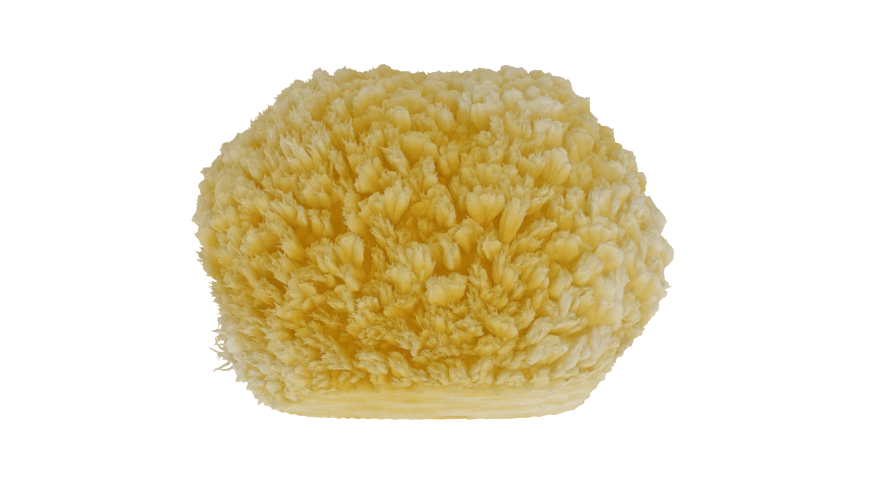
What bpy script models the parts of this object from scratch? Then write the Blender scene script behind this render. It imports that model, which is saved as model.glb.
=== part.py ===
"""A natural wool sponge: one grown piece, covered in tufts, with a trimmed flat base that it stands on.

Metres, +Z up. The front faces -Y. The base lies on z = 0, and the origin is under the middle of the sponge.
"""

import math

import bmesh
import bpy
import numpy as np
from mathutils import Vector

MM = 0.001

# The outline of the tuft tips seen from the front, as x and z in millimetres, counter-clockwise from the right.
FRONT_OUTLINE_MM = (
    (68.5, 36.0),
    (65.5, 53.0),
    (60.0, 68.0),
    (49.5, 84.0),
    (34.0, 95.0),
    (6.0, 94.5),
    (-27.0, 95.5),
    (-46.0, 87.0),
    (-59.0, 75.5),
    (-68.5, 63.0),
    (-69.0, 45.0),
    (-66.0, 28.0),
    (-62.5, 9.0),
    (-52.0, -9.0),
    (-26.0, -20.0),
    (10.0, -23.0),
    (44.0, -12.0),
    (57.5, 6.0),
    (64.0, 22.0),
)
HALF_DEPTH = 57 * MM
BODY_CENTRE = np.array([0.0, 0.0, 44.0]) * MM
BODY_SQUARENESS = 2.35

# Slow swellings of the body: each wave's turns across X, Y and Z, and where it starts, in radians.
LUMP_HEIGHT = 0.022
LUMP_WAVES = (
    (4.1, 2.3, 0.0, 0.6),
    (0.0, 3.7, -4.4, 2.1),
    (3.1, 0.0, 5.2, -1.2),
)

# The tufts. They all point away from one low place inside, as they grew, and lean up and to the sides more than
# to the front and back. Pitch is from tip to tip.
GROWTH_CENTRE = np.array([10.0, 0.0, 24.0]) * MM
GROWTH_SPREAD = np.array([1.0, 0.62, 1.0])
TUFT_PITCH = 7.5 * MM
PITCH_CHANGE = 0.2
PITCH_WAVES = 1.7
CANDIDATE_SITES = 12000
TUFT_LENGTH = 9.0 * MM
SHORT_TUFT_LENGTH = 3.5 * MM
SHORT_BELOW = 6 * MM
FULL_ABOVE = 24 * MM
VALLEY_SHARE = (0.75, 1.15)
TIP_SHARE = (0.46, 0.74)
TIP_DOME = (1.0 * MM, 3.2 * MM)
TIP_DROP = (0.0 * MM, 3.6 * MM)
TIP_ROUGHNESS = 1.1 * MM
TIP_LEAN = 0.7 * MM
SEED = 7

# Deep gaps where a tuft is missing, as the direction from the body's centre to each.
GAP_DIRECTIONS = (
    (-0.33, -0.94, 0.05),
    (-0.46, -0.86, -0.22),
    (-0.12, -0.93, 0.30),
    (0.22, -0.60, 0.77),
    (-0.30, 0.10, 0.95),
    (0.35, 0.45, 0.82),
    (0.10, 0.95, 0.28),
    (-0.55, 0.80, 0.10),
    (0.62, 0.76, -0.05),
    (0.96, 0.10, 0.25),
    (-0.95, 0.20, 0.20),
)
GAP_DEPTH = 0.80

# The trimmed base and the slanting trim round it. The trim is a ring of straight snips.
BASE_MIDDLE_X = -3.0 * MM
BASE_HALF_WIDTH = 47.5 * MM
BASE_HALF_DEPTH = 37 * MM
BASE_SQUARENESS = 3.6
SNIPS = 22
SNIP_SHIFT = 0.2
SNIP_ROUGHNESS = 0.9 * MM
TRIM_SLOPE = 1.05
TRIM_SLOPE_RIGHT = 0.70
TRIM_TOP = 15 * MM

# Above the trim the block opens out past every tuft.
CLEAR_TOP = 40 * MM
CLEAR_FLARE = 60 * MM
BLOCK_TOP = 140 * MM

# The water canals that the cut opened in the base.
CANAL_COUNT = 30
CANAL_RADIUS = (1.6 * MM, 5.0 * MM)
CANAL_DEPTH = (6 * MM, 14 * MM)
CUT_START = 1 * MM
CANAL_TAPER = 0.55
CANAL_SIDES = 8
CANAL_WALL = 1.8 * MM
CANAL_EDGE = 4 * MM
CANAL_FREE_MIDDLE = 5 * MM

SPONGE_COLOUR = (0.52, 0.36, 0.10, 1.0)
SPONGE_ROUGHNESS = 0.9


def clear_scene():
    """Removes every object that the scene starts with."""
    for obj in list(bpy.data.objects):
        bpy.data.objects.remove(obj, do_unlink=True)


def outline_radius(angle):
    """The front outline's distance from the body's centre at these angles, by smooth interpolation between its points."""
    points = np.array(FRONT_OUTLINE_MM) * MM - BODY_CENTRE[[0, 2]]
    knots = np.unwrap(np.arctan2(points[:, 1], points[:, 0]))
    radii = np.hypot(points[:, 0], points[:, 1])
    turn = 2 * math.pi
    knots = np.concatenate([knots[-2:] - turn, knots, knots[:3] + turn])
    radii = np.concatenate([radii[-2:], radii, radii[:3]])
    angle = knots[2] + np.mod(angle - knots[2], turn)
    i = np.clip(np.searchsorted(knots, angle, side="right") - 1, 1, len(knots) - 3)
    span = knots[i + 1] - knots[i]
    t = (angle - knots[i]) / span
    slope_in = (radii[i + 1] - radii[i - 1]) / (knots[i + 1] - knots[i - 1]) * span
    slope_out = (radii[i + 2] - radii[i]) / (knots[i + 2] - knots[i]) * span
    return (
        (2 * t**3 - 3 * t**2 + 1) * radii[i]
        + (t**3 - 2 * t**2 + t) * slope_in
        + (3 * t**2 - 2 * t**3) * radii[i + 1]
        + (t**3 - t**2) * slope_out
    )


def lumps(directions):
    """Slow swellings over the directions, between -1 and 1: the mean of the waves."""
    waves = np.array(LUMP_WAVES)
    return np.sin(directions @ waves[:, :3].T + waves[:, 3]).mean(axis=1)


def tip_points(directions):
    """Where rays from the body's centre leave the surface that the tuft tips reach.

    The front outline sets the radius across the view and HALF_DEPTH the radius along it, joined as a superellipse.
    """
    across = np.hypot(directions[:, 0], directions[:, 2])
    outline = outline_radius(np.arctan2(directions[:, 2], directions[:, 0]))
    power = BODY_SQUARENESS
    radius = ((across / outline) ** power + (np.abs(directions[:, 1]) / HALF_DEPTH) ** power) ** (-1 / power)
    radius *= 1 + LUMP_HEIGHT * lumps(directions)
    return BODY_CENTRE + radius[:, None] * directions


def unit(vectors):
    """The vectors at length 1."""
    return vectors / np.linalg.norm(vectors, axis=-1, keepdims=True)


def growth_directions(points):
    """The way that a tuft at each point grows."""
    return unit((points - GROWTH_CENTRE) * GROWTH_SPREAD)


def tuft_lengths(points):
    """The tufts' length at each point: short beside the trimmed base, full higher up."""
    t = np.clip((points[:, 2] - SHORT_BELOW) / (FULL_ABOVE - SHORT_BELOW), 0, 1)
    return SHORT_TUFT_LENGTH + (TUFT_LENGTH - SHORT_TUFT_LENGTH) * t * t * (3 - 2 * t)


def even_directions(count):
    """Directions spread evenly over the sphere along a spiral that turns by the golden angle."""
    k = np.arange(count) + 0.5
    z = 1 - 2 * k / count
    turn = k * math.pi * (3 - math.sqrt(5))
    across = np.sqrt(1 - z * z)
    return np.stack([across * np.cos(turn), across * np.sin(turn), z], axis=1)


def tuft_sites():
    """The directions of the tufts. Each next site is the candidate farthest from all the sites so far.

    Distances are divided by a slowly changing scale, so that the tufts are coarser in some places.
    """
    candidates = even_directions(CANDIDATE_SITES)
    points = tip_points(candidates)
    scale = 1 + PITCH_CHANGE * lumps(candidates[:, [1, 2, 0]] * PITCH_WAVES)
    chosen = [0]
    nearest = np.linalg.norm(points - points[0], axis=1) / scale
    while nearest.max() > TUFT_PITCH:
        farthest = int(nearest.argmax())
        chosen.append(farthest)
        nearest = np.minimum(nearest, np.linalg.norm(points - points[farthest], axis=1) / scale)
    return candidates[chosen]


def rings_of_faces(hull):
    """For each vertex of a closed mesh of triangles, the faces round it in counter-clockwise order."""
    rings = []
    for vert in hull.verts:
        first = vert.link_loops[0]
        loop = first
        ring = []
        while True:
            ring.append(loop.face.index)
            loop = loop.link_loop_prev.link_loop_radial_next
            if loop == first:
                break
        rings.append(ring)
    return rings


def site_cells(sites):
    """The corners between the sites, as directions, and each site's ring of corners.

    The hull of directions on a sphere joins each site to its neighbours, and each triangle of it holds one corner.
    """
    hull = bmesh.new()
    for site in sites:
        hull.verts.new(Vector(site))
    made = bmesh.ops.convex_hull(hull, input=hull.verts)
    bmesh.ops.delete(hull, geom=made["geom_interior"] + made["geom_unused"], context="VERTS")
    bmesh.ops.recalc_face_normals(hull, faces=hull.faces)
    hull.faces.index_update()
    hull.verts.index_update()
    corners = unit(np.array([sum((v.co for v in face.verts), Vector()) for face in hull.faces]))
    centres = unit(np.array([v.co for v in hull.verts]))
    rings = rings_of_faces(hull)
    hull.free()
    return centres, corners, rings


def across_growth(vectors, growth):
    """The part of each vector that is square to the growth direction."""
    return vectors - np.sum(vectors * growth, axis=-1, keepdims=True) * growth


def tufted_mesh():
    """The whole body before it is trimmed: each cell rises from its corners to a rough, domed tuft tip."""
    random = np.random.default_rng(SEED)
    sites, corners, rings = site_cells(tuft_sites())
    centres = tip_points(sites)
    growth = growth_directions(centres)
    lengths = tuft_lengths(centres)
    corner_tips = tip_points(corners)
    depth = random.uniform(*VALLEY_SHARE, len(corners)) * tuft_lengths(corner_tips)
    valleys = corner_tips - depth[:, None] * growth_directions(corner_tips)

    drop = random.uniform(*TIP_DROP, len(sites)) * lengths / TUFT_LENGTH
    share = random.uniform(*TIP_SHARE, len(sites))
    dome = random.uniform(*TIP_DOME, len(sites))
    lean = across_growth(random.uniform(-TIP_LEAN, TIP_LEAN, (len(sites), 3)), growth)
    gaps = {int(np.argmax(sites @ unit(np.array(way)))) for way in GAP_DIRECTIONS}

    mesh = bmesh.new()
    valley_verts = [mesh.verts.new(Vector(point)) for point in valleys]
    for i, ring in enumerate(rings):
        sunk = GAP_DEPTH * lengths[i] if i in gaps else drop[i]
        middle = centres[i] + lean[i] - sunk * growth[i]
        rough = random.uniform(-TIP_ROUGHNESS, TIP_ROUGHNESS, len(ring)) * (i not in gaps)
        edge = middle + share[i] * (corner_tips[ring] - centres[i]) + rough[:, None] * growth[i]
        rim = [mesh.verts.new(Vector(point)) for point in edge]
        top = mesh.verts.new(Vector(middle + (dome[i] if i not in gaps else 0) * growth[i]))
        for k in range(len(ring)):
            after = (k + 1) % len(ring)
            mesh.faces.new([valley_verts[ring[k]], valley_verts[ring[after]], rim[after], rim[k]])
            mesh.faces.new([rim[k], rim[after], top])
    bmesh.ops.recalc_face_normals(mesh, faces=mesh.faces)
    return mesh


def base_outline(angles, flare, roughness):
    """The trimmed outline as x and y: a squared oval, moved out by the slope times the flare."""
    power = 2 / BASE_SQUARENESS
    x = np.sign(np.cos(angles)) * np.abs(np.cos(angles)) ** power
    y = np.sign(np.sin(angles)) * np.abs(np.sin(angles)) ** power
    slope = TRIM_SLOPE + (TRIM_SLOPE_RIGHT - TRIM_SLOPE) * np.clip(np.cos(angles), 0, 1) ** 2
    outward = unit(np.stack([x / BASE_HALF_WIDTH, y / BASE_HALF_DEPTH], axis=1))
    edge = np.stack([BASE_MIDDLE_X + BASE_HALF_WIDTH * x, BASE_HALF_DEPTH * y], axis=1)
    return edge + outward * (slope * flare + roughness)[:, None]


def trim_block_mesh():
    """What the knife and scissors left: everything inside a flared ring of snips above the flat cut."""
    random = np.random.default_rng(SEED + 1)
    angles = 2 * math.pi * (np.arange(SNIPS) + random.uniform(-SNIP_SHIFT, SNIP_SHIFT, SNIPS)) / SNIPS
    rough = random.uniform(-SNIP_ROUGHNESS, SNIP_ROUGHNESS, SNIPS)
    mesh = bmesh.new()
    rings = []
    levels = ((0.0, 0.0), (TRIM_TOP, TRIM_TOP), (CLEAR_TOP, CLEAR_FLARE), (BLOCK_TOP, CLEAR_FLARE))
    for height, flare in levels:
        outline = base_outline(angles, flare, rough)
        rings.append([mesh.verts.new((x, y, height)) for x, y in outline])
    for low, high in zip(rings, rings[1:]):
        for k in range(SNIPS):
            after = (k + 1) % SNIPS
            mesh.faces.new([low[k], low[after], high[after], high[k]])
    mesh.faces.new(rings[0][::-1])
    mesh.faces.new(rings[-1])
    bmesh.ops.recalc_face_normals(mesh, faces=mesh.faces)
    return mesh


def canal_places(random):
    """The canals' middles and radii on the base: tried at random, and kept where walls are left between them."""
    kept = []
    while len(kept) < CANAL_COUNT:
        radius = random.uniform(*CANAL_RADIUS)
        x = random.uniform(-BASE_HALF_WIDTH, BASE_HALF_WIDTH)
        y = random.uniform(-BASE_HALF_DEPTH, BASE_HALF_DEPTH)
        clear = CANAL_EDGE + radius
        inside = (
            abs(x) ** BASE_SQUARENESS / (BASE_HALF_WIDTH - clear) ** BASE_SQUARENESS
            + abs(y) ** BASE_SQUARENESS / (BASE_HALF_DEPTH - clear) ** BASE_SQUARENESS
        )
        middle_clear = math.hypot(x + BASE_MIDDLE_X, y) > CANAL_FREE_MIDDLE + radius
        apart = all(math.hypot(x - a, y - b) > radius + c + CANAL_WALL for a, b, c in kept)
        if inside < 1 and middle_clear and apart:
            kept.append((x, y, radius))
    return [(x + BASE_MIDDLE_X, y, radius) for x, y, radius in kept]


def canal_cutter_mesh():
    """All the canals as tapered plugs that start just under the base."""
    random = np.random.default_rng(SEED + 2)
    mesh = bmesh.new()
    for x, y, radius in canal_places(random):
        depth = random.uniform(*CANAL_DEPTH)
        made = bmesh.ops.create_cone(
            mesh,
            cap_ends=True,
            segments=CANAL_SIDES,
            radius1=radius,
            radius2=radius * CANAL_TAPER,
            depth=depth + CUT_START,
        )
        bmesh.ops.translate(mesh, verts=made["verts"], vec=(x, y, (depth - CUT_START) / 2))
    bmesh.ops.recalc_face_normals(mesh, faces=mesh.faces)
    return mesh


def new_object(name, mesh):
    """An object in the scene from a bmesh, which it frees."""
    data = bpy.data.meshes.new(name)
    mesh.to_mesh(data)
    mesh.free()
    obj = bpy.data.objects.new(name, data)
    bpy.context.scene.collection.objects.link(obj)
    return obj


def add_helper(obj):
    """Marks an object as a cutter, which isn't part of the sponge."""
    obj.hide_render = True
    obj.display_type = "WIRE"
    return obj


def cut(obj, cutter, operation):
    """Adds an exact Boolean of obj with the cutter."""
    modifier = obj.modifiers.new(cutter.name, "BOOLEAN")
    modifier.operation = operation
    modifier.object = cutter
    modifier.solver = "EXACT"


def sponge_material():
    """Dry sponge fibre: a dull ochre."""
    material = bpy.data.materials.new("sponge_fibre")
    material.use_nodes = True
    shader = material.node_tree.nodes["Principled BSDF"]
    shader.inputs["Base Color"].default_value = SPONGE_COLOUR
    shader.inputs["Roughness"].default_value = SPONGE_ROUGHNESS
    shader.inputs["Metallic"].default_value = 0.0
    return material


def centre_over_origin(obj):
    """Moves an object along X and Y until the middle of its box is over the origin."""
    corners = np.array(obj.bound_box)
    middle = (corners.min(axis=0) + corners.max(axis=0)) / 2
    obj.location = (-middle[0], -middle[1], 0.0)


def main():
    clear_scene()
    sponge = new_object("sponge", tufted_mesh())
    centre_over_origin(sponge)
    trim_block = add_helper(new_object("trim_block", trim_block_mesh()))
    canals = add_helper(new_object("canals", canal_cutter_mesh()))
    cut(sponge, trim_block, "INTERSECT")
    cut(sponge, canals, "DIFFERENCE")
    sponge.data.materials.append(sponge_material())


main()
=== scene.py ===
"""The looks of a dry natural wool sponge: the fibrous mass, and the tufts of fibre that cover it.

Metres, +Z up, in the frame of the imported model. The front faces -Y and the flat cut lies on z = 0.
"""

import logging
import math
from dataclasses import dataclass
from enum import Enum
from functools import cached_property

import bpy
import numpy as np
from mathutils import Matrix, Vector


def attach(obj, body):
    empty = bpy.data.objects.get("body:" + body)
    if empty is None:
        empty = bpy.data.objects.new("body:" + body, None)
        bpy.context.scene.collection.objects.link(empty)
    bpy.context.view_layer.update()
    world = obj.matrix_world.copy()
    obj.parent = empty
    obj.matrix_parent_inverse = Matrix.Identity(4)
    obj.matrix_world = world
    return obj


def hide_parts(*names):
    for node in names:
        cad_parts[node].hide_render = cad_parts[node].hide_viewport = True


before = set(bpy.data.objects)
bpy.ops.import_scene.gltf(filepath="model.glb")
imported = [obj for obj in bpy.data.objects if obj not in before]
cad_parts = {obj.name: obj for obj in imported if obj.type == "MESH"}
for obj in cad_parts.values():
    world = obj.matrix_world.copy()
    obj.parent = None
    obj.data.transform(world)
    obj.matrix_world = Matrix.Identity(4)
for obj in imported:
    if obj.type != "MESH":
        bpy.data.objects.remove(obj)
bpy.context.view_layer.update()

log = logging.getLogger("sea_sponge")

MM = 0.001
TURN = 2 * math.pi
SHARP_ANGLE = math.radians(55)
BODY = "root"
NODE = "sponge"

Pair = tuple[float, float]
Triple = tuple[float, float, float]
Array = np.ndarray
Part = tuple[Array, Array, Array]
WaveRows = tuple[tuple[float, float, int], ...]


def unit(vectors: Array) -> Array:
    """The vectors at length 1."""
    return vectors / np.linalg.norm(vectors, axis=-1, keepdims=True)


def smooth_step(low: float, high: float, values: Array) -> Array:
    """0 below low, 1 above high, and a smooth rise 3t^2 - 2t^3 between them."""
    t = np.clip((values - low) / (high - low), 0, 1)
    return t * t * (3 - 2 * t)


def waves(points: Array, length: float, seed: int, count: int = 7) -> Array:
    """Smooth noise at each point: the sum of sine waves that run in random directions.

    Args:
        points: Places, with x, y and z along the last axis.
        length: The shortest wave's length, in metres. The longest is twice that.
        seed: Picks the directions and starts.
        count: How many waves are summed.

    Returns:
        One value for each point, with a spread of about 1.
    """
    random = np.random.default_rng(seed)
    ways = unit(random.normal(size=(count, 3))) * TURN / (length * random.uniform(1, 2, (count, 1)))
    starts = random.uniform(0, TURN, count)
    return np.sin(points @ ways.T + starts).sum(axis=-1) * math.sqrt(2 / count)


def wave_sum(points: Array, rows: WaveRows) -> Array:
    """The sum of several waves at each point, from rows of weight, length and seed."""
    return sum(weight * waves(points, length, seed) for weight, length, seed in rows)


@dataclass(frozen=True)
class GrownForm:
    """The grown form, by the same sizes and formulas as the solid.

    The front outline sets the radius across the view and half_depth the radius along it. They are joined as
    a superellipse of power squareness, which slow lumps swell. shift is where the form stands in the frame.
    """

    front_outline_mm: tuple[Pair, ...] = (
        (68.5, 36.0), (65.5, 53.0), (60.0, 68.0), (49.5, 84.0), (34.0, 95.0), (6.0, 94.5), (-27.0, 95.5),
        (-46.0, 87.0), (-59.0, 75.5), (-68.5, 63.0), (-69.0, 45.0), (-66.0, 28.0), (-62.5, 9.0),
        (-52.0, -9.0), (-26.0, -20.0), (10.0, -23.0), (44.0, -12.0), (57.5, 6.0), (64.0, 22.0),
    )
    half_depth: float = 57 * MM
    centre: Triple = (0.0, 0.0, 44 * MM)
    squareness: float = 2.35
    lump_height: float = 0.022
    lump_waves: tuple[tuple[float, float, float, float], ...] = (
        (4.1, 2.3, 0.0, 0.6),
        (0.0, 3.7, -4.4, 2.1),
        (3.1, 0.0, 5.2, -1.2),
    )
    growth_centre: Triple = (10 * MM, 0.0, 24 * MM)
    growth_spread: Triple = (1.0, 0.62, 1.0)
    fibre_centre: Triple = (6 * MM, 0.0, 10 * MM)
    fibre_spread: Triple = (0.62, 0.55, 1.0)
    pitch: float = 7.5 * MM
    filled_pitch: float = 5.1 * MM
    pitch_change: float = 0.2
    pitch_waves: float = 1.7
    candidates: int = 12000
    full_length: float = 9 * MM
    short_length: float = 3.5 * MM
    short_below: float = 6 * MM
    full_above: float = 24 * MM
    highest_share: float = 1.1
    shift: Triple = (1.24 * MM, -0.30 * MM, 0.0)

    def outline_radius(self, angle: Array) -> Array:
        """The front outline's distance from the centre, by cubic Hermite pieces between its points."""
        points = np.array(self.front_outline_mm) * MM - np.array(self.centre)[[0, 2]]
        knots = np.unwrap(np.arctan2(points[:, 1], points[:, 0]))
        radii = np.hypot(points[:, 0], points[:, 1])
        knots = np.concatenate([knots[-2:] - TURN, knots, knots[:3] + TURN])
        radii = np.concatenate([radii[-2:], radii, radii[:3]])
        angle = knots[2] + np.mod(angle - knots[2], TURN)
        i = np.clip(np.searchsorted(knots, angle, side="right") - 1, 1, len(knots) - 3)
        span = knots[i + 1] - knots[i]
        t = (angle - knots[i]) / span
        slope_in = (radii[i + 1] - radii[i - 1]) / (knots[i + 1] - knots[i - 1]) * span
        slope_out = (radii[i + 2] - radii[i]) / (knots[i + 2] - knots[i]) * span
        return (
            (2 * t**3 - 3 * t**2 + 1) * radii[i]
            + (t**3 - 2 * t**2 + t) * slope_in
            + (3 * t**2 - 2 * t**3) * radii[i + 1]
            + (t**3 - t**2) * slope_out
        )

    def lumps(self, directions: Array) -> Array:
        """Slow swellings over the directions, between -1 and 1: the mean of the waves."""
        rows = np.array(self.lump_waves)
        return np.sin(directions @ rows[:, :3].T + rows[:, 3]).mean(axis=1)

    def tip_points(self, directions: Array) -> Array:
        """Where rays from the centre leave the surface that the tuft tips reach."""
        across = np.hypot(directions[:, 0], directions[:, 2])
        outline = self.outline_radius(np.arctan2(directions[:, 2], directions[:, 0]))
        power = self.squareness
        depth = np.abs(directions[:, 1]) / self.half_depth
        radius = ((across / outline) ** power + depth**power) ** (-1 / power)
        radius = radius * (1 + self.lump_height * self.lumps(directions))
        return np.array(self.centre) + radius[:, None] * directions

    def height_share(self, points: Array) -> Array:
        """How high each point of the shifted form stands: 1 at the tips, 0 a full tuft's length below."""
        away = points.reshape(-1, 3) - np.array(self.centre) - np.array(self.shift)
        tips = self.tip_points(unit(away)) - np.array(self.centre)
        depth = np.linalg.norm(tips, axis=1) - np.linalg.norm(away, axis=1)
        return np.clip(1 - depth / self.full_length, 0, self.highest_share).reshape(points.shape[:-1])

    def growth(self, points: Array) -> Array:
        """The way that a tuft at each point grows: away from one low place, leaning up and to the sides."""
        return unit((points - np.array(self.growth_centre)) * np.array(self.growth_spread))

    def lean(self, points: Array) -> Array:
        """The way that each point's fibres stand: away from near the base, more upright than growth."""
        return unit((points - np.array(self.fibre_centre)) * np.array(self.fibre_spread))

    def tuft_lengths(self, points: Array) -> Array:
        """The tufts' length at each point: short beside the trimmed base, full higher up."""
        rise = smooth_step(self.short_below, self.full_above, points[:, 2])
        return self.short_length + (self.full_length - self.short_length) * rise

    @cached_property
    def sites(self) -> tuple[Array, int]:
        """The tufts' directions, and how many of them, at the start, are the solid's tufts.

        Each next one is the candidate farthest from all sites so far, by distances that the lumps stretch,
        until none is farther than filled_pitch.
        """
        k = np.arange(self.candidates) + 0.5
        z = 1 - 2 * k / self.candidates
        turn = k * math.pi * (3 - math.sqrt(5))
        across = np.sqrt(1 - z * z)
        candidates = np.stack([across * np.cos(turn), across * np.sin(turn), z], axis=1)
        points = self.tip_points(candidates)
        scale = 1 + self.pitch_change * self.lumps(candidates[:, [1, 2, 0]] * self.pitch_waves)
        chosen = [0]
        nearest = np.linalg.norm(points - points[0], axis=1) / scale
        main = 1
        while nearest.max() > self.filled_pitch:
            main += int(nearest.max() > self.pitch)
            farthest = int(nearest.argmax())
            chosen.append(farthest)
            nearest = np.minimum(nearest, np.linalg.norm(points - points[farthest], axis=1) / scale)
        return candidates[chosen], main


@dataclass(frozen=True)
class TrimmedBase:
    """The flat cut and the slanting trim round it: a squared oval that flares with height."""

    middle_x: float = -3.0 * MM
    half_width: float = 47.5 * MM
    half_depth: float = 37 * MM
    squareness: float = 3.6
    slope: float = 1.05
    slope_right: float = 0.70
    trim_top: float = 15 * MM
    clear_top: float = 40 * MM
    clear_flare: float = 60 * MM
    table_angles: int = 720
    table_flares: int = 25

    def flare(self, height: Array) -> Array:
        """How far up the slope each height counts: the height itself up to trim_top, and faster above it."""
        levels = (0.0, self.trim_top, self.clear_top)
        return np.interp(height, levels, (0.0, self.trim_top, self.clear_flare))

    @cached_property
    def reach_table(self) -> Array:
        """The oval's polar radius for evenly spaced flares, along rows, and polar angles, along columns."""
        angles = np.linspace(0, TURN, 4 * self.table_angles, endpoint=False)
        power = 2 / self.squareness
        x = np.sign(np.cos(angles)) * np.abs(np.cos(angles)) ** power
        y = np.sign(np.sin(angles)) * np.abs(np.sin(angles)) ** power
        slope = self.slope + (self.slope_right - self.slope) * np.clip(np.cos(angles), 0, 1) ** 2
        outward = unit(np.stack([x / self.half_width, y / self.half_depth], axis=1))
        edge = np.stack([self.half_width * x, self.half_depth * y], axis=1)
        columns = np.linspace(-math.pi, math.pi, self.table_angles + 1)
        rows = []
        for flare in np.linspace(0, self.clear_flare, self.table_flares):
            outline = edge + outward * (slope * flare)[:, None]
            polar = np.arctan2(outline[:, 1], outline[:, 0])
            rows.append(np.interp(columns, polar, np.hypot(*outline.T), period=TURN))
        return np.array(rows)

    def reach(self, points: Array) -> Array:
        """How far the trim lets each point stand from the base's middle line, interpolated in the table."""
        row = self.flare(points[..., 2]) / self.clear_flare * (self.table_flares - 1)
        angle = np.arctan2(points[..., 1], points[..., 0] - self.middle_x)
        column = (angle + math.pi) / TURN * self.table_angles
        r0 = np.clip(row.astype(int), 0, self.table_flares - 2)
        c0 = np.clip(column.astype(int), 0, self.table_angles - 1)
        r = row - r0
        c = column - c0
        table = self.reach_table
        low = table[r0, c0] * (1 - c) + table[r0, c0 + 1] * c
        high = table[r0 + 1, c0] * (1 - c) + table[r0 + 1, c0 + 1] * c
        return low * (1 - r) + high * r

    def excess(self, points: Array) -> Array:
        """How far each point stands out past the slanting trim, across the base's middle line."""
        away = np.hypot(points[..., 0] - self.middle_x, points[..., 1])
        return away - self.reach(points)

    def clip(self, points: Array, inset: Array, floor: Array) -> Array:
        """The points, with those past the trim or under the cut moved back to it.

        Args:
            points: Places, with x, y and z along the last axis.
            inset: How far inside the slanting trim each point stops.
            floor: How far above the flat cut each point stops.

        Returns:
            The clipped points, in the same shape.
        """
        kept = points.copy()
        kept[..., 2] = np.maximum(kept[..., 2], floor)
        away = np.hypot(kept[..., 0] - self.middle_x, kept[..., 1])
        limit = self.reach(kept) - inset
        share = np.minimum(1, limit / np.maximum(away, 1e-6))
        kept[..., 0] = self.middle_x + (kept[..., 0] - self.middle_x) * share
        kept[..., 1] = kept[..., 1] * share
        return kept


def closed_tubes(rings: Array, low: Array, high: Array) -> Part:
    """Joins the rings of each tube and closes its two ends to a point.

    Args:
        rings: Ring points, as tubes by rings by corners by 3, counter-clockwise seen from the high end.
        low: The point that closes each tube's first ring.
        high: The point that closes each tube's last ring.

    Returns:
        The vertices, the faces of four corners and the faces of three.
    """
    tubes, rows, columns, _ = rings.shape
    each = rows * columns + 2
    vertices = np.concatenate([rings.reshape(tubes, -1, 3), low[:, None], high[:, None]], axis=1)
    row = np.arange(rows)[:, None] * columns
    column = np.arange(columns)[None, :]
    after = (column + 1) % columns
    here, beside = row + column, row + after
    quads = np.stack([here[:-1], beside[:-1], beside[1:], here[1:]], axis=-1).reshape(-1, 4)
    low_end = np.stack([np.full(columns, each - 2), beside[0], here[0]], axis=-1)
    high_end = np.stack([np.full(columns, each - 1), here[-1], beside[-1]], axis=-1)
    ends = np.concatenate([low_end, high_end])
    start = (np.arange(tubes) * each)[:, None, None]
    return vertices.reshape(-1, 3), (quads + start).reshape(-1, 4), (ends + start).reshape(-1, 3)


def ring_values(rings: Array, low: Array, high: Array) -> Array:
    """Values for the vertices of closed_tubes, in their order, from those of the rings and the two ends."""
    tubes = len(rings)
    return np.concatenate([rings.reshape(tubes, -1), low[:, None], high[:, None]], axis=1).ravel()


def mesh_piece(
    name: str, parts: list[Part], rise: Array, tone: Array, material: bpy.types.Material
) -> bpy.types.Object:
    """Makes one piece of the sponge and ties it to the solid.

    Args:
        name: The piece's name.
        parts: Vertices, four-cornered faces and three-cornered faces of each part that the piece joins.
        rise: How high each vertex counts in the colour.
        tone: Each vertex's own shade.
        material: The piece's finish.

    Returns:
        The new object.
    """
    starts = np.cumsum([0] + [len(part[0]) for part in parts])
    vertices = np.concatenate([part[0] for part in parts])
    quads = np.concatenate([part[1] + start for part, start in zip(parts, starts)])
    triangles = np.concatenate([part[2] + start for part, start in zip(parts, starts)])
    corners = np.concatenate([quads.ravel(), triangles.ravel()])
    first = np.concatenate([np.arange(len(quads)) * 4, len(quads) * 4 + np.arange(len(triangles)) * 3])
    mesh = bpy.data.meshes.new(name)
    mesh.vertices.add(len(vertices))
    mesh.vertices.foreach_set("co", vertices.astype(np.float32).ravel())
    mesh.loops.add(len(corners))
    mesh.loops.foreach_set("vertex_index", corners.astype(np.int32))
    mesh.polygons.add(len(first))
    mesh.polygons.foreach_set("loop_start", first.astype(np.int32))
    mesh.update(calc_edges=True)
    # The third value is painted rim light, paler towards the front view's outline.
    for key, values in (("rise", rise), ("tone", tone), ("rim_light", PaintedRimLight().share(vertices))):
        layer = mesh.attributes.new(key, "FLOAT", "POINT")
        layer.data.foreach_set("value", values.astype(np.float32))
    mesh.shade_smooth()
    mesh.set_sharp_from_angle(angle=SHARP_ANGLE)
    mesh.materials.append(material)
    piece = bpy.data.objects.new(name, mesh)
    bpy.context.scene.collection.objects.link(piece)
    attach(piece, BODY)
    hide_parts(NODE)
    log.info("%s: %d vertices, %d triangles", name, len(vertices), 2 * len(quads) + len(triangles))
    return piece


class Value:
    """A number that varies over a surface. Each operator adds a Math node and returns its result."""

    def __init__(self, finish: "Nodes", socket: bpy.types.NodeSocket) -> None:
        """Wraps an output socket of the finish's nodes."""
        self.finish = finish
        self.socket = socket

    def _math(self, operation: str, other: "Value | float") -> "Value":
        """The Math node's result for this value and the other."""
        node = self.finish.add("ShaderNodeMath", {"operation": operation}, {0: self, 1: other})
        return Value(self.finish, node.outputs[0])

    def __add__(self, other: "Value | float") -> "Value":
        """self + other."""
        return self._math("ADD", other)

    def __mul__(self, other: "Value | float") -> "Value":
        """self * other."""
        return self._math("MULTIPLY", other)

    def __sub__(self, other: "Value | float") -> "Value":
        """self - other."""
        return self._math("SUBTRACT", other)

    def between(self, low: float, high: float) -> "Value":
        """0 below low and 1 above high, with a smooth rise between them."""
        ends = {"Value": self, "From Min": low, "From Max": high}
        node = self.finish.add("ShaderNodeMapRange", {"interpolation_type": "SMOOTHSTEP"}, ends)
        return Value(self.finish, node.outputs["Result"])


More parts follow.
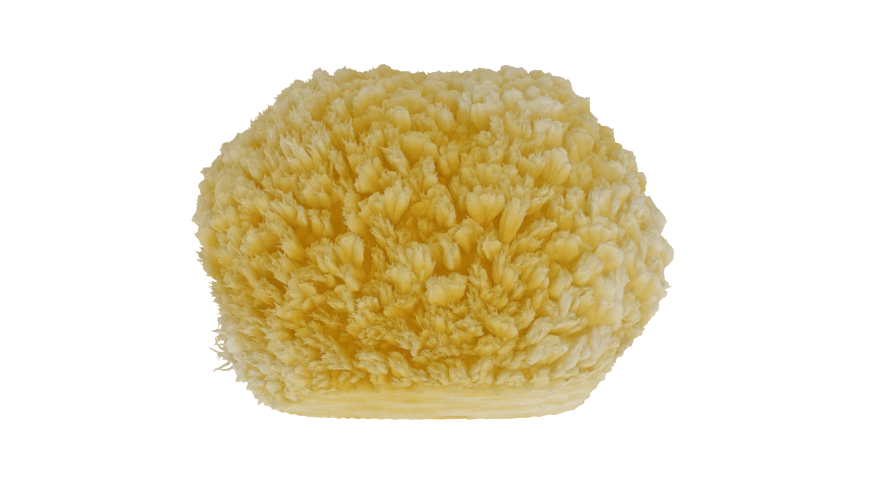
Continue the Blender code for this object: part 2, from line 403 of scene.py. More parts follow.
class Nodes:
    """The nodes of one material."""

    def __init__(self, name: str) -> None:
        """Starts a material that holds a Principled BSDF and its output."""
        self.material = bpy.data.materials.new(name)
        self.material.use_nodes = True
        self.tree = self.material.node_tree
        self.shader = self.tree.nodes["Principled BSDF"]

    def add(self, kind: str, settings: dict[str, object], inputs: dict[str | int, object]) -> bpy.types.Node:
        """Adds a node.

        Args:
            kind: The node's type.
            settings: Its properties, set first. A ramp takes its stops as position and colour.
            inputs: What goes into its sockets: a Value, a socket or a constant.

        Returns:
            The new node.
        """
        node = self.tree.nodes.new(kind)
        for key, setting in settings.items():
            if key == "stops":
                self._set_stops(node.color_ramp, setting)
            else:
                setattr(node, key, setting)
        for key, given in inputs.items():
            self.feed(node.inputs[key], given)
        return node

    def _set_stops(self, ramp: bpy.types.ColorRamp, stops: tuple[tuple[float, Triple], ...]) -> None:
        """Gives a ramp its stops."""
        while len(ramp.elements) < len(stops):
            ramp.elements.new(1.0)
        for element, (position, colour) in zip(ramp.elements, stops):
            element.position = position
            element.color = (*colour, 1.0)

    def feed(self, socket: bpy.types.NodeSocket, given: object) -> None:
        """Links a Value or a socket to the socket, or sets a constant on it."""
        if isinstance(given, Value):
            given = given.socket
        if isinstance(given, bpy.types.NodeSocket):
            self.tree.links.new(given, socket)
        else:
            socket.default_value = given

    def attribute(self, name: str) -> Value:
        """The piece's own value of that name."""
        node = self.add("ShaderNodeAttribute", {"attribute_type": "GEOMETRY", "attribute_name": name}, {})
        return Value(self, node.outputs["Fac"])

    def place(self) -> bpy.types.NodeSocket:
        """Object coordinates."""
        return self.add("ShaderNodeTexCoord", {}, {}).outputs["Object"]

    def noise(self, place: bpy.types.NodeSocket, size: float, detail: float) -> Value:
        """Blender's noise, between 0 and 1, with features of about that size in metres."""
        inputs = {"Vector": place, "Scale": 1 / size, "Detail": detail}
        node = self.add("ShaderNodeTexNoise", {"noise_dimensions": "3D"}, inputs)
        return Value(self, node.outputs["Fac"])


@dataclass(frozen=True)
class SpongeFibre:
    """Dry sponge fibre: amber deep between the tufts, partly painted shade, ochre up their sides and pale
    cream at the tips.
    """

    stops: tuple[tuple[float, Triple], ...] = (
        (0.0, (0.242, 0.104, 0.0002)),
        (0.2, (0.280, 0.160, 0.002)),
        (0.4, (0.292, 0.200, 0.024)),
        (0.6, (0.296, 0.228, 0.070)),
        (0.8, (0.304, 0.258, 0.145)),
        (1.0, (0.325, 0.300, 0.235)),
    )
    roughness: float = 0.92
    specular: float = 0.1
    painted_scatter_light: float = 1.0
    painted_light_offset: float = 0.10
    noises: tuple[Triple, ...] = ((14 * MM, 2.0, 0.16), (2.6 * MM, 2.0, 0.22), (0.7 * MM, 3.0, 0.22))
    bump_depth: float = 0.35 * MM
    bump_strength: float = 0.5
    bump_grain: float = 0.6
    bump_mottle: float = 0.4
    base_level: float = 0.03
    rise_weight: float = 0.34
    crest: Pair = (0.62, 0.98)
    crest_weight: float = 0.24
    rim_light_weight: float = 0.32
    rim_light_rise_weight: float = 0.06
    tone_weight: float = 0.03

    def material(self, name: str) -> bpy.types.Material:
        """The finish as a material that reads the piece's rise, tone and rim_light values.

        Their weighted sum with the noises, rows of size, detail and weight, is the level, which picks the
        colour on the ramp. The lit colour is taken a little above it, and the emission, painted light that
        stands in for light scattered in the fibre and keeps the shaded places saturated, a little below.
        """
        nodes = Nodes(name)
        place = nodes.place()
        rise = nodes.attribute("rise")
        tone = nodes.attribute("tone")
        rim_light = nodes.attribute("rim_light")
        # The rise runs from deep amber low between the tufts to cream at the tips: partly the fibre's own
        # paler tips, partly painted shade in the depths.
        level = rise * self.rise_weight + rise.between(*self.crest) * self.crest_weight
        # Painted rim light: paler towards the front view's outline.
        level = level + rim_light * (rise * self.rim_light_rise_weight + self.rim_light_weight)
        level = level + tone * self.tone_weight + self.base_level
        made = []
        for size, detail, weight in self.noises:
            made.append(nodes.noise(place, size, detail))
            level = level + (made[-1] - 0.5) * weight
        _, mottle, grain = made
        # Painted light: the ramp feeds a paler lit colour and a deeper emission, which stands in for light
        # scattered in the fibre and keeps the shade saturated.
        for socket, offset in (("Base Color", self.painted_light_offset), ("Emission Color", -self.painted_light_offset)):
            ramp = nodes.add("ShaderNodeValToRGB", {"stops": self.stops}, {"Fac": level + offset})
            nodes.feed(nodes.shader.inputs[socket], ramp.outputs["Color"])
        height = grain * self.bump_grain + mottle * self.bump_mottle
        bump_inputs = {"Height": height, "Distance": self.bump_depth, "Strength": self.bump_strength}
        bump = nodes.add("ShaderNodeBump", {}, bump_inputs)
        nodes.feed(nodes.shader.inputs["Normal"], bump.outputs["Normal"])
        constants = {
            "Roughness": self.roughness,
            "Emission Strength": self.painted_scatter_light,
            "Specular IOR Level": self.specular,
        }
        for socket, value in constants.items():
            nodes.feed(nodes.shader.inputs[socket], value)
        return nodes.material


@dataclass(frozen=True)
class PaintedRimLight:
    """Painted rim light: the fibre is painted paler round a wide oval in the front view, and also paler by the
    cut.
    """

    middle: Pair = (-14 * MM, 47 * MM)
    half_sizes: Pair = (70 * MM, 56 * MM)
    fade: Pair = (0.45, 1.12)
    far_fade: Pair = (1.0, 1.25)
    far_share: float = 0.3
    low_fade: Pair = (10 * MM, 40 * MM)
    low_share: float = 0.13
    left_fade: Pair = (38 * MM, 62 * MM)
    low_left_share: float = 0.8

    def share(self, points: Array) -> Array:
        """How pale each place is painted: 0 in the front's middle, 1 at the oval's edge, and more at its far
        ends.

        It rises with the distance from the oval's middle, and a little towards the cut, most at the left.
        """
        across = (points[..., 0] - self.middle[0]) / self.half_sizes[0]
        upward = (points[..., 2] - self.middle[1]) / self.half_sizes[1]
        distance = np.hypot(across, upward)
        rim_light = smooth_step(*self.fade, distance) + self.far_share * smooth_step(*self.far_fade, distance)
        low = 1 - smooth_step(*self.low_fade, points[..., 2])
        left = smooth_step(*self.left_fade, -points[..., 0])
        return rim_light + low * (self.low_share + self.low_left_share * left)


@dataclass
class FibrousMass:
    """The closed mass under the tufts, with the slanting trim, the flat cut and the canals that it opened."""

    form: GrownForm
    trim: TrimmedBase
    columns: int = 400
    tilt_rows: tuple[int, ...] = (0, 50, 96, 149)
    tilts: tuple[float, ...] = (-89.0, -42.0, -18.0, 89.0)
    halvings: int = 24
    trim_tolerance: float = 0.2 * MM
    base_tolerance: float = 0.05 * MM
    lowest_side: float = 0.1 * MM
    depth_share: float = 0.95
    strand_stretch: Triple = (0.12, 0.12, 1.0)
    strand_waves: WaveRows = ((1.0, 1.1 * MM, 31), (0.6, 2.3 * MM, 32))
    strand_height: float = 0.22 * MM
    lump_waves: WaveRows = ((1.0, 3 * MM, 35), (0.6, 1.5 * MM, 36))
    lump_height: float = 0.75 * MM
    clod_waves: WaveRows = ((1.0, 5 * MM, 37), (0.5, 2.2 * MM, 38))
    clod_height: float = 0.38 * MM
    clod_fade: Pair = (10 * MM, 45 * MM)
    deepest_relief: float = -0.8 * MM
    canal_count: int = 30
    canal_radius: Pair = (1.6 * MM, 5.0 * MM)
    canal_depth: Pair = (6 * MM, 14 * MM)
    canal_rim: Pair = (0.72, 1.12)
    canal_wall: float = 1.8 * MM
    canal_edge: float = 4 * MM
    canal_free_middle: float = 5 * MM
    canal_seed: int = 9
    canal_painted_shade: float = 55.0
    cut_rise: float = 0.68
    cut_waves: WaveRows = ((0.05, 2.4 * MM, 38), (0.06, 7 * MM, 39))
    slope_rise: float = 0.82
    slope_streaks: WaveRows = ((0.05, 1.1 * MM, 33),)
    valley_rise: float = 0.06
    beside_trim_rise: float = 0.80
    beside_trim: float = 5 * MM
    tone_waves: WaveRows = ((0.5, 12 * MM, 34),)

    def directions(self) -> Array:
        """Directions from the centre, as rings from the lowest up, closer on the base and the trim."""
        tilts = np.interp(np.arange(self.tilt_rows[-1] + 1), self.tilt_rows, self.tilts)
        turns = np.arange(self.columns) * TURN / self.columns
        tilt, turn = np.meshgrid(np.radians(tilts), turns, indexing="ij")
        return np.stack([np.cos(tilt) * np.cos(turn), np.cos(tilt) * np.sin(turn), np.sin(tilt)], axis=-1)

    def canals(self) -> tuple[Array, Array]:
        """The canals' middles and radii, tried at random and kept where walls are left, and their depths."""
        random = np.random.default_rng(self.canal_seed)
        trim = self.trim
        kept = []
        while len(kept) < self.canal_count:
            radius = random.uniform(*self.canal_radius)
            x = random.uniform(-trim.half_width, trim.half_width)
            y = random.uniform(-trim.half_depth, trim.half_depth)
            clear = self.canal_edge + radius
            inside = (
                abs(x) ** trim.squareness / (trim.half_width - clear) ** trim.squareness
                + abs(y) ** trim.squareness / (trim.half_depth - clear) ** trim.squareness
            )
            middle_clear = math.hypot(x + trim.middle_x, y) > self.canal_free_middle + radius
            apart = all(math.hypot(x - a, y - b) > radius + c + self.canal_wall for a, b, c in kept)
            if inside < 1 and middle_clear and apart:
                kept.append((x, y, radius))
        depths = np.array([random.uniform(*self.canal_depth) for _ in kept])
        return np.array(kept) + (trim.middle_x, 0, 0), depths

    def surface(self) -> tuple[Array, Array]:
        """The mass's points and how high each counts in the colour, over tilt and turn.

        Each ray from the centre ends at the valleys between the tufts, the slanting trim or the flat cut,
        whichever comes first, and the trim's place on it is found by halving. Strands lie along the trim:
        ridges of a noise that is long round the base and short up the slope. Clods swell its right, and lumps
        the valleys. The canals lift the base's points into the mass, by their depth times a smooth step.
        """
        directions = self.directions()
        flat = directions.reshape(-1, 3)
        shift = np.array(self.form.shift)
        start = np.array(self.form.centre) + shift
        tips = self.form.tip_points(flat)
        growth = self.form.growth(tips)
        length = self.form.tuft_lengths(tips) * self.depth_share
        far = np.linalg.norm(tips - self.form.centre, axis=1) - length * np.sum(growth * flat, axis=1)
        low, high = np.zeros(len(flat)), far.copy()
        for _ in range(self.halvings):
            middle = (low + high) / 2
            place = start + middle[:, None] * flat
            inside = (self.trim.excess(place) < 0) & (place[:, 2] > 0)
            low = np.where(inside, middle, low)
            high = np.where(inside, high, middle)
        points = start + low[:, None] * flat
        trimmed = far - low > self.trim_tolerance
        on_base = trimmed & (points[:, 2] < self.base_tolerance)
        on_slope = trimmed & ~on_base
        along = points * np.array(self.strand_stretch)
        strands = wave_sum(along, self.strand_waves)
        lumps = wave_sum(points, self.lump_waves)
        clods = wave_sum(points, self.clod_waves)
        right = smooth_step(*self.clod_fade, points[:, 0])
        trim_relief = self.strand_height * (strands - 1) + self.clod_height * right * (clods - 0.5)
        trim_relief = np.maximum(trim_relief, self.deepest_relief)
        relief = np.where(on_slope, trim_relief, np.where(on_base, 0, self.lump_height * lumps))
        points = points + flat * relief[:, None]
        canals, depths = self.canals()
        distance = np.linalg.norm(points[:, None, :2] - canals[None, :, :2], axis=2) / canals[:, 2]
        pit = (depths * (1 - smooth_step(*self.canal_rim, distance))).max(axis=1)
        points[:, 2] = np.where(on_base, pit, np.maximum(points[:, 2], self.lowest_side))
        # Painted shade: the valleys between the tufts take the deepest colour, and the canals are painted
        # darker the deeper they go.
        beside = self.beside_trim_rise * (1 - smooth_step(0, self.beside_trim, -self.trim.excess(points)))
        valley = np.maximum(beside, self.valley_rise * (1 + lumps))
        cut = self.cut_rise + wave_sum(points, self.cut_waves) - self.canal_painted_shade * pit
        slope = self.slope_rise + wave_sum(along, self.slope_streaks)
        rise = np.where(on_base, cut, np.where(on_slope, slope, valley))
        return points.reshape(directions.shape), np.clip(rise, 0, 1).reshape(directions.shape[:2])

    def build(self, material: bpy.types.Material) -> bpy.types.Object:
        """Makes the mass as one closed piece."""
        rings, rise = self.surface()
        low, high = rings[0].mean(axis=0), rings[-1].mean(axis=0)
        part = closed_tubes(rings[None], low[None], high[None])
        rise = ring_values(rise[None], rise[:1].mean(axis=1), rise[-1:].mean(axis=1))
        return mesh_piece("sponge_mass", [part], rise, wave_sum(part[0], self.tone_waves), material)


class Sector(Enum):
    """The six parts of the sponge's surface that the tufts are grouped by, in order round the vertical."""

    BACK_LEFT = "back_left"
    FRONT_LEFT = "front_left"
    FRONT = "front"
    FRONT_RIGHT = "front_right"
    BACK_RIGHT = "back_right"
    BACK = "back"


@dataclass
class Tufts:
    """The tufts: each is a fan of curled blades of fibre, in two rows and a middle one, with torn edges.

    The solid's tufts come first, and smaller ones fill the places between them. Every tuft is lowered by its
    own draw, those near gap_directions by gap_depth of their length, and those near each row of
    low_patches_mm, which gives x and z in the front view, reach and depth, by depth times a bell of the
    distance over reach.
    """

    form: GrownForm
    trim: TrimmedBase
    seed: int = 7
    solid_draws: Pair = (0.75, 1.15)
    tip_height: float = 0.4 * MM
    drop: Pair = (0.0, 3.6 * MM)
    filler_drop: Pair = (1.8 * MM, 5.2 * MM)
    gap_directions: tuple[Triple, ...] = (
        (-0.33, -0.94, 0.05), (-0.46, -0.86, -0.22), (-0.12, -0.93, 0.30), (0.22, -0.60, 0.77),
        (-0.30, 0.10, 0.95), (0.35, 0.45, 0.82), (0.10, 0.95, 0.28), (-0.55, 0.80, 0.10), (0.62, 0.76, -0.05),
        (0.96, 0.10, 0.25), (-0.95, 0.20, 0.20), (-0.91, 0.0, 0.42), (-0.49, 0.0, 0.87),
    )
    gap_depth: float = 0.80
    gap_reach: float = 6.5 * MM
    low_patches_mm: tuple[tuple[float, float, float, float], ...] = (
        (50.0, 82.0, 16.0, 2.8),
        (67.0, 30.0, 17.0, 2.8),
        (-61.0, 10.0, 12.0, 2.0),
        (-62.0, 66.0, 12.0, -2.4),
        (-44.0, 91.0, 11.0, -1.9),
        (-68.0, 39.0, 9.0, 2.6),
        (48.0, 86.0, 8.0, 1.3),
        (13.0, 95.0, 8.0, -2.0),
    )
    fan_along: tuple[float, ...] = (-1.15, -0.4, 0.4, 1.15, -0.75, 0.0, 0.75, 0.0)
    fan_across: tuple[float, ...] = (0.25, 0.45, 0.45, 0.25, -0.30, -0.45, -0.30, 0.0)
    columns: int = 8
    rows: int = 6
    spikes: int = 6
    lowest_tuft: float = -3 * MM
    neighbours: int = 5
    main_width: float = 1.3
    filler_width: float = 1.12
    width_change: Pair = (0.8, 1.25)
    side_width: float = 0.18
    side_fade: Pair = (0.35, 0.85)
    view_half: Pair = (70 * MM, 50 * MM)
    view_middle: float = 45 * MM
    ragged_slope: Triple = (0.62, -0.58, -0.12)
    ragged_waves: WaveRows = ((0.16, 22 * MM, 41),)
    least_ragged: float = 0.05
    lean_change: float = 0.15
    tone_limit: float = 2.0
    turn_change: float = 0.55
    along_change: float = 0.22
    across_change: float = 0.15
    facing_fan: float = 0.5
    facing_change: float = 0.3
    lift: Pair = (-1.9 * MM, 1.0 * MM)
    least_lift: float = 0.4
    dome: float = 1.2 * MM
    fan_reach: Pair = (0.27, 0.10)
    root_depth: float = 1.35
    root_spread: float = 0.04
    half_share: Pair = (0.33, -0.16)
    half_change: Pair = (0.7, 1.3)
    inset: Pair = (0.9 * MM, 1.5 * MM)
    floor: Pair = (0.3 * MM, 1.3 * MM)
    cut_fade: Pair = (-0.5 * MM, 1.0 * MM)
    cut_rise: float = 0.86
    blade_tone: float = 0.5
    blade_waves: tuple[Triple, ...] = ((0.12, 2.0, 2.5), (0.08, 3.0, -5.0), (0.05, 5.0, 6.0))
    blade_noise: float = 0.08
    spike_length: Pair = (0.8 * MM, 2.4 * MM)
    spike_thickness: Pair = (0.33 * MM, 0.60 * MM)
    spike_foot: float = 0.5 * MM
    spike_rise: tuple[float, ...] = (0.8, 0.8, 0.8, 1.1)

    def raggedness(self, points: Array, x: Array, z: Array) -> Array:
        """How torn each tuft is: most at the left, where x is -1, and least at the right, where it is 1.

        The far left limb's upper part, the top, where z is 1, and the tufts near the cut are torn less.
        """
        start, by_x, by_z = self.ragged_slope
        ragged = start + by_x * x + by_z * z + wave_sum(points, self.ragged_waves)
        limb = smooth_step(0.65, 0.95, -x) * smooth_step(-0.1, 0.2, z)
        near_cut = 1 - smooth_step(-0.7, -0.1, z)
        top = smooth_step(0.65, 1, z)
        return ragged.clip(self.least_ragged, 1) * (1 - 0.8 * limb) * (1 - 0.45 * near_cut) * (1 - 0.6 * top)

    def bundles(self) -> dict[str, Array]:
        """Each tuft's tip, growth, length, width across, raggedness and tone.

        The width is the mean distance of the nearest neighbours, times the tuft's own shares.
        """
        form = self.form
        random = np.random.default_rng(self.seed)
        sites, main = form.sites
        # These keep the draws below in step with the solid's, which come after its valleys' draws.
        random.uniform(*self.solid_draws, 2 * main - 4)
        centres = form.tip_points(sites)
        growth = form.growth(centres)
        lengths = form.tuft_lengths(centres)
        fillers = len(sites) - main
        drop = np.concatenate([random.uniform(*self.drop, main), random.uniform(*self.filler_drop, fillers)])
        drop = drop * lengths / form.full_length
        for way in self.gap_directions:
            middle = centres[int(np.argmax(sites[:main] @ unit(np.array(way))))]
            near = np.linalg.norm(centres - middle, axis=1) < self.gap_reach
            drop[near] = self.gap_depth * lengths[near]
        for x, z, reach, depth in np.array(self.low_patches_mm) * MM:
            drop += depth * np.exp(-((centres[:, 0] - x) ** 2 + (centres[:, 2] - z) ** 2) / reach**2)
        apart = np.linalg.norm(centres[:, None] - centres[None], axis=2)
        width = np.sort(apart, axis=1)[:, 1 : self.neighbours + 1].mean(axis=1)
        width[:main] *= self.main_width
        width[main:] *= self.filler_width
        width *= random.uniform(*self.width_change, len(sites))
        x = centres[:, 0] / self.view_half[0]
        z = (centres[:, 2] - self.view_middle) / self.view_half[1]
        width *= 1 + self.side_width * smooth_step(*self.side_fade, np.abs(x))
        found = {
            "tip": centres + growth * (self.tip_height - drop)[:, None] + np.array(form.shift),
            "growth": unit(form.lean(centres) + self.lean_change * random.normal(size=centres.shape)),
            "length": lengths,
            "width": width,
            "ragged": self.raggedness(centres, x, z),
            "tone": random.normal(0, 1, len(sites)).clip(-self.tone_limit, self.tone_limit),
        }
        keep = centres[:, 2] > self.lowest_tuft
        return {key: values[keep] for key, values in found.items()}

    def build(self, material: bpy.types.Material) -> list[bpy.types.Object]:
        """Makes the tufts of each sector as one piece."""
        bundles = self.bundles()
        turn = np.arctan2(bundles["tip"][:, 1], bundles["tip"][:, 0])
        order = np.argsort(np.mod(turn - math.pi * 5 / 6, TURN))
        pieces = []
        for index, (sector, chosen) in enumerate(zip(Sector, np.array_split(order, len(Sector)))):
            part = {key: values[chosen] for key, values in bundles.items()}
            random = np.random.default_rng([self.seed, index])
            pieces.append(self.build_sector(f"tufts_{sector.value}", part, random, material))
        return pieces

    def build_sector(
        self, name: str, bundles: dict[str, Array], random: np.random.Generator, material: bpy.types.Material
    ) -> bpy.types.Object:
        """Makes one sector's blades and the fine spikes at their torn edges.

        A tuft's blades stand in rows like fingers, each with its flat side out, and spread upwards. What the
        slanting trim cuts off is moved back to it, and takes the cut's paler colour.
        """
        tufts, blades = len(bundles["tip"]), len(self.fan_along)
        many = (tufts, blades)
        growth = bundles["growth"][:, None]
        width = bundles["width"][:, None]
        length = bundles["length"][:, None]
        ragged = np.broadcast_to(bundles["ragged"][:, None], many)
        turned = (0, 0, 1) + self.turn_change * random.normal(size=(tufts, 1, 3))
        first = unit(np.cross(growth, turned))
        second = np.cross(growth, first)
        along = np.array(self.fan_along) + random.uniform(-self.along_change, self.along_change, many)
        across = np.array(self.fan_across) + random.uniform(-self.across_change, self.across_change, many)
        spread = along[..., None] * first + across[..., None] * second
        facing = np.where(across < 0, -math.pi / 2, math.pi / 2) + self.facing_fan * along
        facing = facing + random.normal(0, self.facing_change, many)
        outward = np.cos(facing)[..., None] * first + np.sin(facing)[..., None] * second
        lift = random.uniform(*self.lift, many) * (self.least_lift + ragged)
        lift = lift - self.dome * np.hypot(along, across)
        reach = width * (self.fan_reach[0] + self.fan_reach[1] * ragged)
        tip = bundles["tip"][:, None] + spread * reach[..., None] + growth * lift[..., None]
        root = bundles["tip"][:, None] - growth * length[..., None] * self.root_depth
        root = root + spread * width[..., None] * self.root_spread
        half = width * (self.half_share[0] + self.half_share[1] * ragged)
        half = half * random.uniform(*self.half_change, many)

        def flat(values: Array) -> Array:
            """The values with tufts and blades along one axis."""
            rest = values.shape[2:]
            return np.broadcast_to(values, (*many, *rest)).reshape(tufts * blades, *rest)

        shape = (flat(root), flat(tip), flat(outward), flat(half), flat(ragged))
        rings, low, high, level = self.blade_surface(*shape, random)
        inset = np.repeat(random.uniform(*self.inset, tufts), blades)
        floor = np.repeat(random.uniform(*self.floor, tufts), blades)
        # Painted shade: the colour deepens the farther a point lies below the tuft tips.
        level = (level + self.form.height_share(rings)) / 2
        cut = smooth_step(*self.cut_fade, self.trim.excess(rings) + inset[:, None, None])
        level = level + (self.cut_rise - level) * cut
        rings = self.trim.clip(rings, inset[:, None, None], floor[:, None, None])
        low = self.trim.clip(low, inset, floor)
        high = self.trim.clip(high, inset, floor)
        body = closed_tubes(rings, low, high)
        body_rise = ring_values(level, np.zeros(len(low)), level[:, -1].mean(axis=1))
        tone = np.repeat(bundles["tone"], blades) + random.normal(0, self.blade_tone, tufts * blades)
        spikes = self.spike_surface(rings, flat(growth), flat(ragged), random)
        spikes = (self.trim.clip(spikes[0], self.inset[0], self.floor[0]), spikes[1], spikes[2])
        spike_rise = np.tile(self.spike_rise, len(spikes[0]) // len(self.spike_rise))
        # Painted shade for the spikes too: deeper colour the farther they lie below the tuft tips.
        spike_rise = (spike_rise + self.form.height_share(spikes[0])) / 2
        rise = np.concatenate([body_rise, spike_rise])
        tones = [np.repeat(tone, len(part[0]) // len(tone)) for part in (body, spikes)]
        return mesh_piece(name, [body, spikes], rise, np.concatenate(tones), material)

    def blade_surface(
        self, root: Array, tip: Array, outward: Array, half: Array, ragged: Array, random: np.random.Generator
    ) -> tuple[Array, Array, Array, Array]:
        """The blades' rings over v along each and u round it.

        Each ring is an oval, wide along the blade's flat side and thinner through it. Its half width grows as
        a smooth step of v from a third of half to half, and falls to its own share at the top. Its thickness
        swells as a sine of v and thins towards the torn edge. Its sides curl back with the square of their
        distance from the middle. Sines of u and v roughen it. Near the tip each column is moved along the
        blade by its own share, which tears the edge into prongs, and the sides are lowered into an arch.

        Args:
            root: Where each blade starts.
            tip: Where it ends.
            outward: The way its flat side faces.
            half: Half its width at the widest.
            ragged: From 0, smooth and round, to 1, deeply torn.
            random: Draws the waves and prongs.

        Returns:
            Rings, low ends, high ends and how high each ring point counts in the colour.
        """
        count = len(root)
        v = np.linspace(0.03, 1, self.rows) ** 0.70
        u = np.arange(self.columns) * TURN / self.columns
        axis = unit(tip - root)
        face = unit(outward - np.sum(outward * axis, axis=1, keepdims=True) * axis)
        side = np.cross(face, axis)
        starts = random.uniform(0, TURN, (len(self.blade_waves), count, 1, 1))
        wave = sum(
            height * np.sin(turns * u + start + climb * v[:, None])
            for start, (height, turns, climb) in zip(starts, self.blade_waves)
        )
        wave = wave + random.uniform(-self.blade_noise, self.blade_noise, (count, self.rows, self.columns))
        top = random.uniform(0.40, 0.80, (count, 1))
        wide = half[:, None] * (0.35 + 0.65 * smooth_step(0.1, 0.8, v))
        wide = wide * (1 + (top - 1) * smooth_step(0.75, 1, v))
        deep = half[:, None] * random.uniform(0.50, 0.80, (count, 1)) * (0.7 + 0.3 * np.sin(math.pi * v))
        deep = deep * (1 - 0.45 * smooth_step(0.55, 1, v))
        across = wide[..., None] * np.cos(u) * (1 + wave)
        curl = random.uniform(0.1, 0.5, (count, 1, 1)) * across**2 / half[:, None, None]
        through = deep[..., None] * np.sin(u) * (1 + wave) - curl
        bend = random.uniform(-1, 1, (count, 1)) * 0.9 * MM * np.sin(math.pi * v)
        tear = smooth_step(0.55, 1, v)[:, None]
        every_other = np.arange(self.columns) % 2
        prong = random.uniform(-0.3, 1, (count, 1, self.columns)) * (0.35 + 0.65 * every_other)
        reach = (0.3 + 1.7 * ragged)[:, None, None] * MM * tear**2
        arch = random.uniform(0.25, 0.7, (count, 1, 1)) * across**2 / half[:, None, None] * tear
        line = root[:, None] + (tip - root)[:, None] * v[:, None] + face[:, None] * bend[..., None]
        rings = (
            line[:, :, None]
            + across[..., None] * side[:, None, None]
            + through[..., None] * face[:, None, None]
            + (prong * reach - arch)[..., None] * axis[:, None, None]
        )
        high = rings[:, -1].mean(axis=1) + axis * random.uniform(0.2, 1.0, (count, 1)) * MM
        # Paler up each blade: partly the fibre's own paler tips, partly painted shade deep in the tuft.
        level = v[:, None] ** 1.2 + 0.12 * prong * tear - 0.05
        return rings, root, high, level

    def spike_surface(
        self, rings: Array, growth: Array, ragged: Array, random: np.random.Generator
    ) -> Part:
        """Fine spikes of fibre on each blade, as closed three-sided cones that start inside its upper part.

        Args:
            rings: The blades' ring points.
            growth: The way that each blade's tuft grows.
            ragged: From 0, short spikes, to 1, long ones.
            random: Draws the places, directions and lengths.

        Returns:
            Vertices, no four-cornered faces, and three-cornered faces.
        """
        count, rows, columns, _ = rings.shape
        row = random.integers(rows - 2, rows, (count, self.spikes))
        column = random.integers(0, columns, (count, self.spikes))
        foot = rings[np.arange(count)[:, None], row, column]
        middle = rings[np.arange(count)[:, None], row].mean(axis=2)
        outward = unit(foot - middle + 1e-7)
        way = unit(growth[:, None] * 1.2 + outward * 0.7 + random.normal(0, 0.25, foot.shape))
        length = random.uniform(*self.spike_length, (count, self.spikes)) * (0.12 + 0.88 * ragged[:, None])
        thick = random.uniform(*self.spike_thickness, (count, self.spikes))[..., None]
        side = unit(np.cross(way, unit(random.normal(size=way.shape))))
        other = np.cross(way, side)
        base = foot - way * self.spike_foot
        angles = (0, TURN / 3, 2 * TURN / 3)
        corners = [base + thick * (math.cos(angle) * side + math.sin(angle) * other) for angle in angles]
        vertices = np.stack([*corners, foot + way * length[..., None]], axis=2).reshape(-1, 3)
        cone = np.array([[0, 1, 3], [1, 2, 3], [2, 0, 3], [2, 1, 0]])
        triangles = (np.arange(len(vertices) // 4)[:, None, None] * 4 + cone).reshape(-1, 3)
        return vertices, np.zeros((0, 4), int), triangles


@dataclass
class StrayFibres:
    """Loose crossing strands at the low left corner, which start inside the mass and leave small holes."""

    trim: TrimmedBase
    lowest: Triple = (-60 * MM, -14 * MM, 10 * MM)
    highest: Triple = (-57 * MM, 2 * MM, 22 * MM)
    heading: Triple = (-1.0, -0.2, -0.25)
    scatter: float = 0.55
    reach: Pair = (3 * MM, 7 * MM)
    thick: Pair = (0.35 * MM, 0.75 * MM)
    thinning: float = 0.67
    bend: float = 3.5 * MM
    clearance: float = 1 * MM
    rise: float = 0.7
    tone_waves: WaveRows = ((1.0, 6 * MM, 51),)
    count: int = 60
    rows: int = 8
    corners: int = 6
    seed: int = 21

    def build(self, material: bpy.types.Material) -> bpy.types.Object:
        """Makes the strands as one piece.

        Each strand's middle line is foot + reach t, swung sideways by bend sin(pi t), over t from 0 to 1. Its
        radius falls to a third with t.
        """
        random = np.random.default_rng(self.seed)
        each = (self.count, 1, 1)
        foot = random.uniform(self.lowest, self.highest, (self.count, 3))
        foot = self.trim.clip(foot, self.clearance, self.clearance)
        axis = unit(np.array(self.heading) + random.normal(0, self.scatter, foot.shape))
        side = unit(np.cross(axis, unit(random.normal(size=axis.shape))))
        other = np.cross(axis, side)
        t = np.linspace(0, 1, self.rows)[None, :, None]
        line = foot[:, None] + axis[:, None] * random.uniform(*self.reach, each) * t
        line = line + side[:, None] * random.uniform(-self.bend, self.bend, each) * np.sin(math.pi * t)
        line[..., 2] = np.maximum(line[..., 2], self.clearance)
        radius = random.uniform(*self.thick, each) * (1 - self.thinning * t)
        angle = np.arange(self.corners)[:, None] * TURN / self.corners
        ring = np.cos(angle) * side[:, None, None] + np.sin(angle) * other[:, None, None]
        part = closed_tubes(line[:, :, None] + radius[..., None] * ring, line[:, 0], line[:, -1])
        rise = np.full(len(part[0]), self.rise)
        return mesh_piece("stray_fibres", [part], rise, wave_sum(part[0], self.tone_waves), material)


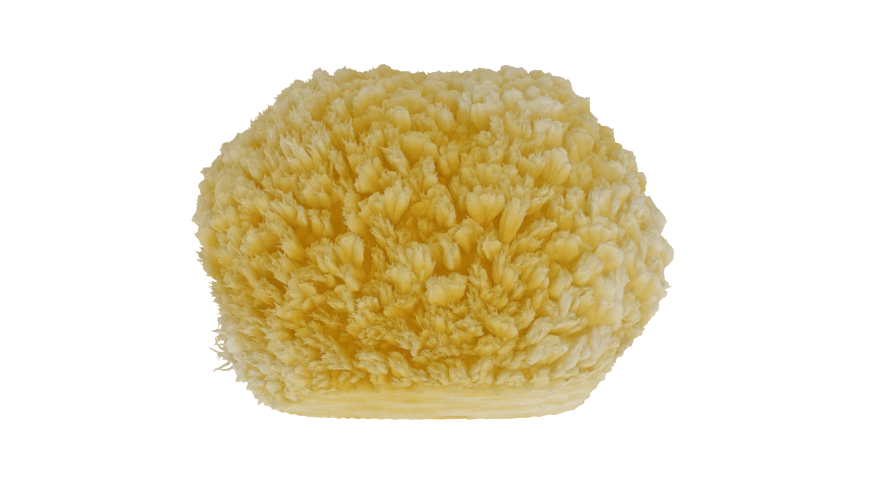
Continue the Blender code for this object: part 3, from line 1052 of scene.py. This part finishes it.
@dataclass(frozen=True)
class Studio:
    """A pale floor, soft lights and a long lens at the photograph's angle."""

    elevation: float = 12.0
    distance: float = 1.15
    aim_height: float = 43.5 * MM
    view_width: float = 255.3 * MM
    sensor: float = 36.0
    floor_half: float = 4.0
    floor_gap: float = 0.2 * MM
    floor_roughness: float = 0.9
    floor_colour: Triple = (0.3, 0.3, 0.3)
    floor_glow: float = 1.0
    world_strength: float = 0.46
    white: tuple[float, ...] = (1.0, 1.0, 1.0, 1.0)
    lamps: tuple[tuple[str, Triple, float, float], ...] = (
        ("key", (0.35, -0.95, 0.4), 0.6, 2.9),
        ("fill", (-0.8, -0.5, 0.6), 0.8, 0.8),
    )

    def build(self) -> None:
        """Makes the floor, the surrounding light, the lamps and the camera."""
        self.build_floor()
        self.build_world()
        for lamp in self.lamps:
            self.add_lamp(*lamp)
        self.build_camera()

    def build_floor(self) -> None:
        """A square floor just under the flat cut."""
        half = self.floor_half
        mesh = bpy.data.meshes.new("floor")
        corners = [(-half, -half), (half, -half), (half, half), (-half, half)]
        mesh.from_pydata([(x, y, -self.floor_gap) for x, y in corners], [], [(0, 1, 2, 3)])
        nodes = Nodes("pale_floor")
        nodes.feed(nodes.shader.inputs["Base Color"], (*self.floor_colour, 1.0))
        nodes.feed(nodes.shader.inputs["Roughness"], self.floor_roughness)
        nodes.feed(nodes.shader.inputs["Emission Color"], self.white)
        nodes.feed(nodes.shader.inputs["Emission Strength"], self.floor_glow)
        mesh.materials.append(nodes.material)
        floor = bpy.data.objects.new("floor", mesh)
        bpy.context.scene.collection.objects.link(floor)

    def build_world(self) -> None:
        """An even white surrounding."""
        world = bpy.data.worlds.new("studio")
        world.use_nodes = True
        background = world.node_tree.nodes["Background"]
        background.inputs["Color"].default_value = self.white
        background.inputs["Strength"].default_value = self.world_strength
        bpy.context.scene.world = world
        bpy.context.scene.view_settings.view_transform = "Standard"

    def add_lamp(self, name: str, place: Triple, size: float, power: float) -> None:
        """A square soft light that faces the sponge."""
        data = bpy.data.lights.new(name, "AREA")
        data.shape = "SQUARE"
        data.size = size
        data.energy = power
        lamp = bpy.data.objects.new(name, data)
        lamp.location = place
        sight = Vector((0, 0, self.aim_height)) - Vector(place)
        lamp.rotation_euler = sight.to_track_quat("-Z", "Y").to_euler()
        bpy.context.scene.collection.objects.link(lamp)

    def build_camera(self) -> None:
        """A camera whose frame is view_width wide at the sponge's middle."""
        data = bpy.data.cameras.new("camera")
        data.sensor_width = self.sensor
        data.lens = self.sensor * self.distance / self.view_width
        data.clip_end = 20
        camera = bpy.data.objects.new("camera", data)
        tilt = math.radians(self.elevation)
        aim = Vector((0, 0, self.aim_height))
        camera.location = aim + self.distance * Vector((0, -math.cos(tilt), math.sin(tilt)))
        camera.rotation_euler = (math.pi / 2 - tilt, 0, 0)
        bpy.context.scene.collection.objects.link(camera)
        bpy.context.scene.camera = camera


def write_sizes() -> None:
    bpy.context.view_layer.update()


def main() -> None:
    """Builds the sponge's pieces in order, and then the studio round them."""
    logging.basicConfig(level=logging.INFO, format="%(name)s: %(message)s")
    form = GrownForm()
    trim = TrimmedBase()
    material = SpongeFibre().material("sponge_fibre")
    FibrousMass(form, trim).build(material)
    Tufts(form, trim).build(material)
    StrayFibres(trim).build(material)
    Studio().build()
    write_sizes()


if __name__ == "__main__":
    main()
